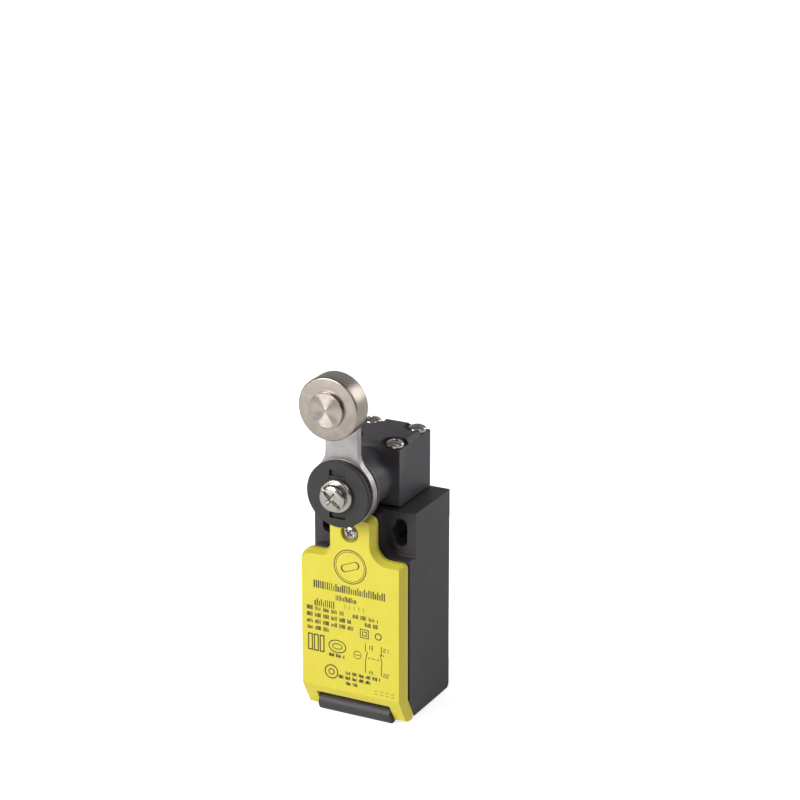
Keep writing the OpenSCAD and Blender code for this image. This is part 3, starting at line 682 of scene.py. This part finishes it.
def teeth_tree():
    """Small wedges round a circle about Z, added to the ring they stand on."""
    tree = Tree("ring_teeth", Ring=("geometry", None), Teeth=("int", 60),
                Radius=("float", 0.0085), Tall=("float", 0.0003), Level=("float", 0.0),
                Material=("material", None))
    circle = tree.node(
        "GeometryNodeMeshCircle", {},
        {"Vertices": tree.given("Teeth"), "Radius": tree.given("Radius")},
    )
    raised = tree.node(
        "GeometryNodeTransform", {},
        {0: circle, "Translation": tree.node(
            "ShaderNodeCombineXYZ", {}, {"Z": tree.given("Level")})},
    )
    tooth = tree.node(
        "GeometryNodeMeshCone", {},
        {"Vertices": 4, "Radius Top": 0.00006, "Radius Bottom": 0.00032,
         "Depth": tree.given("Tall")},
    )
    spin = tree.node(
        "FunctionNodeAlignEulerToVector", {"axis": "X"},
        {"Vector": tree.node("GeometryNodeInputPosition")},
    )
    teeth = tree.node(
        "GeometryNodeInstanceOnPoints", {},
        {"Points": raised, "Instance": tooth, "Rotation": spin},
    )
    joined = tree.node("GeometryNodeJoinGeometry").node
    tree.group.links.new(teeth, joined.inputs[0])
    tree.group.links.new(tree.given("Ring"), joined.inputs[0])
    return tree.finish(joined.outputs[0])


def place_mesh(made, matrix):
    """Moves the mesh and leaves its object at the origin."""
    made.data.transform(matrix)
    made.data.update()


def face_front(made, node, axis=None):
    """Lays a piece that was spun from its back on the back of its node, facing the front. It
    is centred on the axis node, or else on its own."""
    mid, back = middle(axis or node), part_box(node)[1].y
    place_mesh(made, Matrix.Translation((mid.x, back, mid.z)) @ TO_FRONT)


# ---------------------------------------------------------------- the pieces


class SwitchOperator(bpy.types.Operator):
    """What every step shares: the materials come first, then its own build"""

    bl_options = {"REGISTER", "UNDO"}

    def execute(self, context):
        make_finishes()
        self.build(context.scene)
        return {"FINISHED"}


class SWITCH_OT_body(SwitchOperator):
    """Body with its gaskets and the cable entry's thread"""

    bl_idname = "switch.body"
    bl_label = "Body"

    def build(self, scene):
        carry("housing", "body_moulding")
        for node in ("cover_gasket", "head_gasket"):
            carry(node, "rubber_seal")
        pitch = scene.switch_shape.thread_pitch
        mount = next(m for m in frame["record"]["mounts"] if "cable" in m["name"])
        radius, deep = mount["dims"]["r_mm"] * MM, mount["dims"]["length_mm"] * MM
        # it starts and stops one pitch short of the hole's ends
        tall = deep - 2 * pitch
        thread = coil_tree().run(
            "cable_entry_thread", bpy.data.meshes.new("seed"), Radius=radius, Wire=pitch * 0.42,
            Sides=4, Height=tall, Turns=tall / pitch, Material=FINISHES["body_moulding"],
        )
        x, y, _ = mount["pos_m"]
        place_mesh(thread, Matrix.Translation((x, y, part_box("housing")[0].z + pitch)))
        finish_piece(thread, None, body=BODY_OF["housing"], slot=SLOT_OF.get("housing"))


class SWITCH_OT_cover(SwitchOperator):
    """Hinged cover and its pin"""

    bl_idname = "switch.cover"
    bl_label = "Cover"

    def build(self, scene):
        carry("cover", "cover_moulding", 24)
        carry("hinge_pin", "shaft_turning")


def digit(label):
    """The strokes of a plain numeral, in a cell 1 wide and 2 high, as (x, z, wide, high)."""
    strokes = {
        "a": (0.5, 2, 1, 0), "b": (1, 1.5, 0, 1), "c": (1, 0.5, 0, 1), "d": (0.5, 0, 1, 0),
        "e": (0, 0.5, 0, 1), "f": (0, 1.5, 0, 1), "g": (0.5, 1, 1, 0),
    }
    return [strokes[s] for s in {"1": "bc", "2": "abged", "3": "abgcd", "4": "fgbc"}[label]]


class SWITCH_OT_print(SwitchOperator):
    """Printing on the cover: rows of plain ticks, rings and a contact symbol"""

    bl_idname = "switch.print"
    bl_label = "Cover Print"

    def build(self, scene):
        # places are in millimetres: x from the middle, and drop from the cover's upper edge
        shape = scene.switch_shape
        low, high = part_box("cover")
        y = low.y - shape.ink_proud / 2
        top = high.z
        rng = random.Random(shape.seed)
        at, size, turn = [], [], []

        def bar(x, drop, wide, tall, angle=0.0):
            at.append((x * MM, y, top - drop * MM))
            size.append((wide * MM, 0, tall * MM))
            turn.append((0, math.radians(angle), 0))

        def row(left, right, drop, tall, stroke, words):
            """Upright ticks from left to right, broken into words."""
            x, count = left, 0
            while x < right:
                if count == words:
                    x, count = x + tall * 0.55, 0
                    continue
                short = rng.choice((1.0, 1.0, 0.72))
                bar(x, drop + (1 - short) * tall / 2, stroke * rng.uniform(0.7, 1.5), tall * short)
                x, count = x + tall * 0.3, count + 1

        w = shape.tick / MM
        row(-10.3, 10.2, 20.5, 2.1, w * 1.05, 99)
        row(-4.0, 2.0, 23.2, 1.45, w * 0.85, 99)
        row(-10.1, -4.7, 25.5, 2.0, w, 99)
        for left, right, drop in (
            (-12.4, -1.8, 27.3), (0.8, 7.9, 27.4), (-12.4, 0.4, 29.15), (4.4, 7.9, 29.1),
            (-12.4, 1.0, 30.95), (-12.4, -6.3, 32.75), (-6.0, -1.6, 39.4), (-1.3, 8.7, 43.7),
            (-3.3, 6.1, 45.1), (-1.2, 2.2, 46.6),
        ):
            row(left, right, drop, 1.15 if drop < 39 else 0.95, w * 0.72, 5)
        # block of three plain columns
        drop = 36.9
        for x in (-11.6, -9.9, -8.2):
            for side in (-0.55, 0.55):
                bar(x + side, drop, 0.34, 4.7)
            for end in (-2.2, 2.2):
                bar(x, drop + end, 1.4, 0.36)
        # double square
        x, drop, line = 4.1, 31.7, w * 0.8
        for half in (1.15, 0.55):
            for side in (-1, 1):
                bar(x + side * half, drop, line, 2 * half + line)
                bar(x, drop + side * half, 2 * half, line)
        # contact symbol: one contact that closes and one that opens, linked by dashes
        line = w * 0.75
        for x, aside, lean in ((4.4, 0.25, 12), (9.0, -0.05, -10)):
            bar(x, 35.4, line, 2.3)
            bar(x, 40.9, line, 3.2)
            bar(x + aside, 37.9, line, 2.9, lean)
        bar(9.35, 36.7, 1.0, line)
        for x in (5.4, 6.7, 8.0):
            bar(x, 38.2, 0.75, w * 0.7)
        bar(2.1, 38.0, 1.5, w * 0.7)
        # terminal numbers
        cell, stroke, line = 0.5, 0.62, 0.16
        for label, x, drop in (
            ("13", 5.1, 35.2), ("14", 5.1, 42.2), ("21", 9.6, 35.2), ("22", 9.6, 42.2),
        ):
            for k, name in enumerate(label):
                for sx, sz, wide, tall in digit(name):
                    bar(x + k * 0.85 + sx * cell, drop - sz * cell + cell,
                        max(wide * stroke, line), max(tall * stroke, line))
        tree = tick_tree()
        ticks = tree.run(
            "cover_print_ticks", points("ticks", at, size=size, turn=turn),
            Thickness=shape.ink_proud, Material=FINISHES["cover_ink"],
        )
        finish_piece(ticks, None, body=BODY_OF["cover"])
        # rings, each a flat band
        work = bmesh.new()
        half = shape.ink_proud / 2
        for x, drop, rx, rz, wide in (
            (0.1, 14.0, 4.7, 4.7, 0.26), (0.1, 14.0, 4.15, 4.15, 0.16), (-3.75, 36.8, 2.6, 1.85, 0.3),
            (-3.75, 36.8, 1.5, 0.85, 0.26), (-5.5, 44.2, 2.0, 2.0, 0.34), (-5.5, 44.2, 0.9, 0.9, 0.3),
            (2.1, 38.0, 1.15, 1.15, 0.18), (8.1, 31.7, 1.0, 1.0, 0.3),
        ):
            centre = Vector((x * MM, y, top - drop * MM))
            rx, rz, wide = rx * MM, rz * MM, wide * MM
            join_loops(work, [
                [
                    work.verts.new(centre + Vector((
                        (rx - inset) * math.cos(a), side * half, (rz - inset) * math.sin(a),
                    )))
                    for a in full_turn(64)
                ]
                for inset, side in ((0, -1), (wide, -1), (wide, 1), (0, 1))
            ])
        # a leaning round-ended slot inside the large ring
        end, reach, shift = 1.05, 1.75, 0.001
        slot = [(end * math.cos(a) + math.copysign(reach, math.cos(a)), end * math.sin(a))
                for a in (a + shift for a in full_turn(40))]
        c, s = math.cos(math.radians(22)), math.sin(math.radians(22))
        join_loops(work, [
            [
                work.verts.new((
                    (0.1 + (px * c - pz * s) * shrink) * MM, y + side * half,
                    top - 14.0 * MM + (px * s + pz * c) * shrink * MM,
                ))
                for px, pz in slot
            ]
            for shrink, side in ((1.0, -1), (0.84, -1), (0.84, 1), (1.0, 1))
        ])
        bmesh.ops.recalc_face_normals(work, faces=work.faces)
        rings = settle(new_object("cover_print_rings", as_mesh(work, "cover_print_rings")))
        finish_piece(rings, "cover_ink", body=BODY_OF["cover"])
        # four pairs of date dashes, low on the right, and five faint marks after the type's place;
        # the dashes stand for embossed date marks, and their darker cover colour is painted shade
        at, size, turn = [], [], []
        for k in range(4):
            for drop in (47.0, 47.9):
                bar(7.4 + 1.6 * k, drop, 0.85, 0.3)
        for k in range(5):
            bar(-1.5 + 1.35 * k, 25.2, 0.28, 1.1)
        date = tree.run(
            "cover_date_pips", points("pips", at, size=size, turn=turn),
            Thickness=shape.ink_proud, Material=FINISHES["date_ink"],
        )
        finish_piece(date, None, body=BODY_OF["cover"])


class SWITCH_OT_head(SwitchOperator):
    """Head with its turret"""

    bl_idname = "switch.head"
    bl_label = "Head"

    def build(self, scene):
        carry("head_housing", "head_moulding")
        carry("shaft_bush", "bronze_turning")
        carry("shaft_seal", "rubber_seal")


class SWITCH_OT_screws(SwitchOperator):
    """Every screw: head corners, cover, lever, terminals and contact block"""

    bl_idname = "switch.screws"
    bl_label = "Screws"

    def build(self, scene):
        tree = placed_tree()
        steel = FINISHES["screw_plating"]

        def place(name, piece, rows, turns):
            made = tree.run(
                name + "_piece", points(name, rows, turn=turns), 40, Piece=piece, Material=steel
            )
            bpy.data.objects.remove(piece)
            finish_piece(made, None, name)

        # head screws stand upright in the corners of the head
        low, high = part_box("head_screws")
        r, tall, shank = 2.35 * MM, 1.65 * MM, 1.25 * MM
        xs, ys = (low.x + r, high.x - r), (low.y + r, high.y - r)
        rows = [(x, y, high.z - tall) for x in xs for y in ys]
        turns = [(0, 0, math.radians(a)) for a in (35, -15, 70, 20)]
        place("head_screws", screw("head_screw", r, tall, shank, high.z - tall - low.z), rows, turns)

        def front_screws(name, r, tall, shank, turns, crown=0.6):
            """Screws that face the front, one in each corner that their box has room for."""
            low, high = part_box(name)
            mid = middle(name)
            piece = screw(name + "_one", r, tall, shank, high.y - low.y - tall, crown=crown)
            place_mesh(piece, TO_FRONT)
            xs, zs = (
                (a + r, b - r) if b - a > 2.1 * r else (c,)
                for a, b, c in ((low.x, high.x, mid.x), (low.z, high.z, mid.z))
            )
            place(name, piece, [(x, low.y + tall, z) for x in xs for z in zs],
                  [(0, math.radians(a), 0) for a in turns])

        def radius_of(name):
            low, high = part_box(name)
            return (high.x - low.x) / 2

        front_screws("cover_screw", radius_of("cover_screw"), 1.6 * MM, 1.25 * MM, [30])
        front_screws("lever_screw", radius_of("lever_screw"), 2.2 * MM, 1.95 * MM, [40], 0.36)
        front_screws("terminal_screws", 2.4 * MM, 1.8 * MM, 1.45 * MM, [15, 70, -20, 40])
        front_screws("block_screws", 2.1 * MM, 1.5 * MM, 1.2 * MM, [25, -35])


class SWITCH_OT_lever(SwitchOperator):
    """Lever with its serrated ring, index disc, key and washer"""

    bl_idname = "switch.lever"
    bl_label = "Lever"

    def build(self, scene):
        carry("lever_arm", "lever_plating")
        carry("index_disc", "disc_moulding")
        carry("index_key", "disc_moulding")
        carry("shaft", "shaft_turning")
        # bevelled washer, round the lever screw
        low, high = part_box("lever_washer")
        r, thick, bore = (high.x - low.x) / 2, high.y - low.y, 2.15 * MM
        profile = [(bore, 0), (r * 0.97, 0), (r, thick * 0.1), (r, thick * 0.5),
                   (r - 0.12 * MM, thick * 0.75), (r - 0.45 * MM, thick * 0.97),
                   (r - 0.7 * MM, thick), (bore, thick)]
        washer = new_object("lever_washer_piece", spun_mesh("lever_washer_piece", profile, 96))
        face_front(washer, "lever_washer")
        finish_piece(settle(washer, 40), "washer_turning", "lever_washer")
        # ring with its teeth, which point to the disc
        low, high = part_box("serrated_ring")
        r, bore, tall = (high.x - low.x) / 2, 4.05 * MM, 0.25 * MM
        level = high.y - low.y - tall
        profile = [(bore, 0), (r, 0), (r, level), (bore, level)]
        ring = teeth_tree().run(
            "serrated_ring_piece", spun_mesh("ring", profile, 96), 30,
            Teeth=scene.switch_shape.teeth, Radius=r - 0.45 * MM, Tall=tall, Level=level,
            Material=FINISHES["ring_blacking"],
        )
        face_front(ring, "serrated_ring")
        finish_piece(ring, None, "serrated_ring")


class SWITCH_OT_roller(SwitchOperator):
    """Roller, its bush, axle and spacer"""

    bl_idname = "switch.roller"
    bl_label = "Roller"

    def build(self, scene):
        low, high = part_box("roller")
        thick = high.y - low.y
        bush_low, bush_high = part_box("roller_bush")
        bore = (bush_high.x - bush_low.x) / 2 + 0.02 * MM
        front = round_edge((high.x - low.x) / 2, thick, scene.switch_shape.edge_round, 5)
        back = [(radius, thick - height) for radius, height in front[::-1]]
        profile = [(bore, 0), *back, *front, (bore, thick)]
        roller = new_object("roller_piece", spun_mesh("roller_piece", profile, 128))
        face_front(roller, "roller")
        finish_piece(settle(roller, 44), "roller_turning", "roller")
        carry("roller_bush", "bronze_turning")
        carry("roller_spacer", "lever_plating")
        # axle: a faintly dished head with turning rings, and a riveted back end
        low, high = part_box("roller_axle")
        head_r, total = (high.x - low.x) / 2, high.y - low.y
        stub = high.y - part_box("lever_arm")[1].y
        under = total - 0.97 * MM
        axle_r = bore - 1.02 * MM
        sunk, steps = 0.05 * MM, 9
        face = round_edge(head_r, total, 0.28 * MM, 4)
        dish = [
            (face[-1][0] * (1 - i / (steps + 1)), total - sunk * math.sin(math.pi / 2 * i / steps))
            for i in range(1, steps + 1)
        ]
        profile = [(0, 0), (axle_r + 0.45 * MM, 0), (axle_r + 0.9 * MM, stub * 0.5),
                   (axle_r + 0.9 * MM, stub), (axle_r, stub), (axle_r, under),
                   (head_r - 0.1 * MM, under), (head_r, under + 0.1 * MM),
                   *face, *dish, (0, total - sunk)]
        axle = new_object("roller_axle_piece", spun_mesh("roller_axle_piece", profile, 96))
        face_front(axle, "roller_axle", "roller")
        finish_piece(settle(axle, 40), "axle_turning", "roller_axle")


class SWITCH_OT_springs(SwitchOperator):
    """Coil springs of the push rod and of the two contact bridges"""

    bl_idname = "switch.springs"
    bl_label = "Springs"

    def build(self, scene):
        tree = coil_tree()
        for node, wire in (
            ("pushrod_spring", 0.24 * MM), ("nc_spring", 0.19 * MM), ("no_spring", 0.19 * MM),
        ):
            low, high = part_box(node)
            mid, tall = middle(node), high.z - low.z
            made = tree.run(
                node + "_piece", bpy.data.meshes.new("seed"), 60,
                Radius=(high.x - low.x) / 2 - wire, Wire=wire, Sides=10, Height=tall - 2 * wire,
                Turns=4.0, Material=FINISHES["spring_wire"],
            )
            place_mesh(made, Matrix.Translation((mid.x, mid.y, low.z + wire)))
            finish_piece(made, None, node)
            if node == "pushrod_spring":
                travel = next(j for j in frame["joints"] if j["name"] == "pushrod_slide")
                (tall - max(travel["range_m"])) / tall
                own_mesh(made)


class SWITCH_OT_works(SwitchOperator):
    """Cam, push rod and the contact block with its contacts"""

    bl_idname = "switch.works"
    bl_label = "Inner Works"

    def build(self, scene):
        for node, material in (
            ("cam", "shaft_turning"), ("cam_pin", "shaft_turning"), ("pushrod", "rod_moulding"),
            ("pushrod_seal", "rubber_seal"), ("contact_base", "block_moulding"),
            ("contact_back_plate", "block_moulding"), ("contact_carrier", "carrier_moulding"),
            ("nc_bridge", "contact_metal"), ("no_bridge", "contact_metal"),
            ("fixed_contact_21", "contact_metal"), ("fixed_contact_22", "contact_metal"),
            ("fixed_contact_13", "contact_metal"), ("fixed_contact_14", "contact_metal"),
            ("terminal_washers", "lever_plating"),
        ):
            carry(node, material)


class SWITCH_OT_stage(SwitchOperator):
    """Floor, studio lights and camera"""

    bl_idname = "switch.stage"
    bl_label = "Stage"

    def build(self, scene):
        stage = scene.switch_stage
        low = CAD_BOX[0].z
        # a sweep: the floor runs back and curves up behind the switch
        work = bmesh.new()
        bend, back = 0.8, 1.6
        line = [(-3.0, low)] + [
            (back + bend * math.sin(a), low + bend * (1 - math.cos(a))) for a in quarter_turn(16)
        ] + [(back + bend, 3.0)]
        rows = [[work.verts.new((x, y, z)) for x in (-4.0, 4.0)] for y, z in line]
        for a, b in zip(rows, rows[1:]):
            work.faces.new((a[0], a[1], b[1], b[0]))
        bmesh.ops.recalc_face_normals(work, faces=work.faces)
        mesh = as_mesh(work, "floor")
        mesh.shade_smooth()
        floor = new_object("studio_floor", mesh)
        paper = Finish("studio_paper", Roughness=0.9)
        tone = paper.noise(0.4, 2)
        paper.feed("Base Color", paper.mix(tone, (0.93, 0.93, 0.93), (0.96, 0.96, 0.96)))
        paper.shader.inputs["Specular IOR Level"].default_value = 0.0
        # the paper glows a little, less so in what it lights than to the camera
        seen = paper.node("ShaderNodeLightPath", out="Is Camera Ray")
        paper.feed("Emission Color", paper.mix(seen, (0.22, 0.22, 0.22), (1, 1, 1)))
        paper.shader.inputs["Emission Strength"].default_value = 0.72
        mesh.materials.append(paper.material)
        scene.world = bpy.data.worlds.new("studio_room")
        scene.world.use_nodes = True
        nodes, links = scene.world.node_tree.nodes, scene.world.node_tree.links
        room = nodes["Background"]
        room.inputs[1].default_value = stage.room
        # the room is brighter overhead than at its sides
        place = nodes.new("ShaderNodeTexCoord").outputs["Generated"]
        parts = nodes.new("ShaderNodeSeparateXYZ")
        ramp = nodes.new("ShaderNodeValToRGB")
        ramp.color_ramp.elements[0].position, ramp.color_ramp.elements[1].position = 0.0, 0.8
        ramp.color_ramp.elements[0].color = (0.3, 0.3, 0.31, 1)
        links.new(place, parts.inputs[0])
        links.new(parts.outputs[2], ramp.inputs[0])
        links.new(ramp.outputs[0], room.inputs[0])
        centre = Vector((0, -0.012, -0.01))
        for name, power, place, size in (
            ("key_light", stage.key, (-0.42, -0.84, 0.42), (0.5, 0.6)),
            ("side_light", stage.fill, (0.3, -0.12, 0.3), (0.2, 0.2)),
            ("back_light", stage.back, (0.5, 0.75, 0.32), (0.4, 0.5)),
            ("top_light", stage.top, (0.05, -0.1, 1.0), (0.6, 0.6)),
        ):
            data = bpy.data.lights.new(name, "AREA")
            data.shape, data.size, data.size_y, data.energy = "RECTANGLE", size[0], size[1], power
            light = new_object(name, data)
            light.location = place
            light.rotation_euler = (centre - Vector(place)).to_track_quat("-Z", "Y").to_euler()
        data = bpy.data.cameras.new("studio_camera")
        data.lens, data.sensor_width = stage.lens, 36
        data.clip_start, data.clip_end = 0.05, 20
        camera = new_object("studio_camera", data)
        # it looks down by the first angle and to the left by the second
        down, aside = 19.81, 27.234
        camera.location = (0.32879, -0.63902, 0.28655)
        camera.rotation_euler = (math.radians(90 - down), 0, math.radians(aside))
        scene.camera = camera
        scene.view_settings.view_transform = "Standard"


# ---------------------------------------------------------------- the add-on

STEPS = (
    SWITCH_OT_body, SWITCH_OT_cover, SWITCH_OT_print, SWITCH_OT_head, SWITCH_OT_screws,
    SWITCH_OT_lever, SWITCH_OT_roller, SWITCH_OT_springs, SWITCH_OT_works, SWITCH_OT_stage,
)


class SWITCH_PT_panel(bpy.types.Panel):
    """Sizes, colours and the steps that build the switch"""

    bl_idname = "SWITCH_PT_panel"
    bl_label = "Limit Switch"
    bl_space_type = "VIEW_3D"
    bl_region_type = "UI"
    bl_category = "Limit Switch"

    def draw(self, context):
        scene = context.scene
        for group in (scene.switch_finish, scene.switch_shape, scene.switch_stage):
            box = self.layout.box()
            for label in group.__annotations__:
                box.prop(group, label)
        column = self.layout.column()
        for step in STEPS:
            column.operator(step.bl_idname)


CLASSES = (SwitchFinish, SwitchShape, SwitchStage, *STEPS, SWITCH_PT_panel)


def register():
    for cls in CLASSES:
        bpy.utils.register_class(cls)
    bpy.types.Scene.switch_finish = PointerProperty(type=SwitchFinish)
    bpy.types.Scene.switch_shape = PointerProperty(type=SwitchShape)
    bpy.types.Scene.switch_stage = PointerProperty(type=SwitchStage)


def unregister():
    for label in ("switch_finish", "switch_shape", "switch_stage"):
        delattr(bpy.types.Scene, label)
    for cls in reversed(CLASSES):
        bpy.utils.unregister_class(cls)


def main():
    register()
    for step in STEPS:
        group, name = step.bl_idname.split(".")
        getattr(getattr(bpy.ops, group), name)()


if __name__ == "__main__":
    main()
